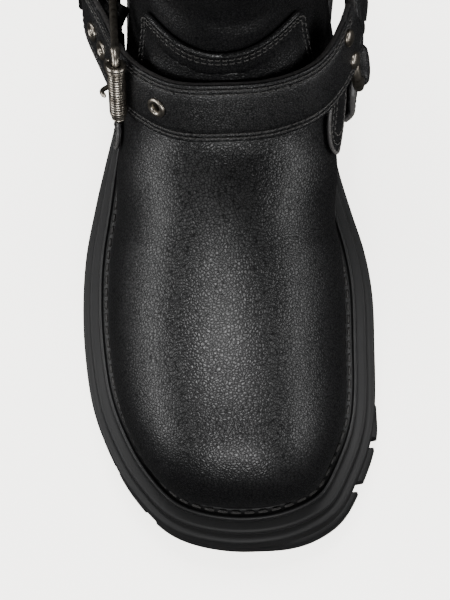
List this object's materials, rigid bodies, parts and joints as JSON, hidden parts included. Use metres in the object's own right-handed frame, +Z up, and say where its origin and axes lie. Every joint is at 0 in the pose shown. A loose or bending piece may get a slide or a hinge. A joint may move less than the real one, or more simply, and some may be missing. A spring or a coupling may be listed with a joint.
{
  "type": "slouch boot",
  "caption": "Pull-on boot for the right foot: wide rounded toe, slack folded shaft, instep harness straps with rings and a roller buckle, thick stepped lug sole.",
  "frame": {"origin": "on the floor under the middle of the sole's outline", "axes": "+Z up, -Y along the foot towards the toe, +X towards the big-toe side"},
  "size_m": [0.1186, 0.2918, 0.3],
  "materials": {
    "leather": "pebble-grained black leather, semi-matt",
    "rubber": "matt black moulded rubber",
    "footbed": "dark sock lining",
    "metal": "aged nickel-plated steel"
  },
  "bodies": {
    "root": {"outsole": "rubber", "midsole": "rubber", "welt": "rubber", "insole": "footbed", "upper": "leather", "vamp_tongue": "leather", "side_tab_medial": "leather", "side_tab_lateral": "leather", "strap_front": "leather", "strap_heel": "leather", "strap_lower_medial": "leather", "strap_lower_lateral": "leather", "strap_chape": "leather", "keeper": "leather", "ring_medial": "metal", "ring_lateral": "metal", "buckle_frame": "metal", "buckle_roller": "metal", "buckle_prong": "metal", "eyelet_1": "metal", "eyelet_2": "metal", "eyelet_3": "metal", "eyelet_4": "metal", "rivet_1": "metal", "rivet_2": "metal"}
  },
  "joints": []
}
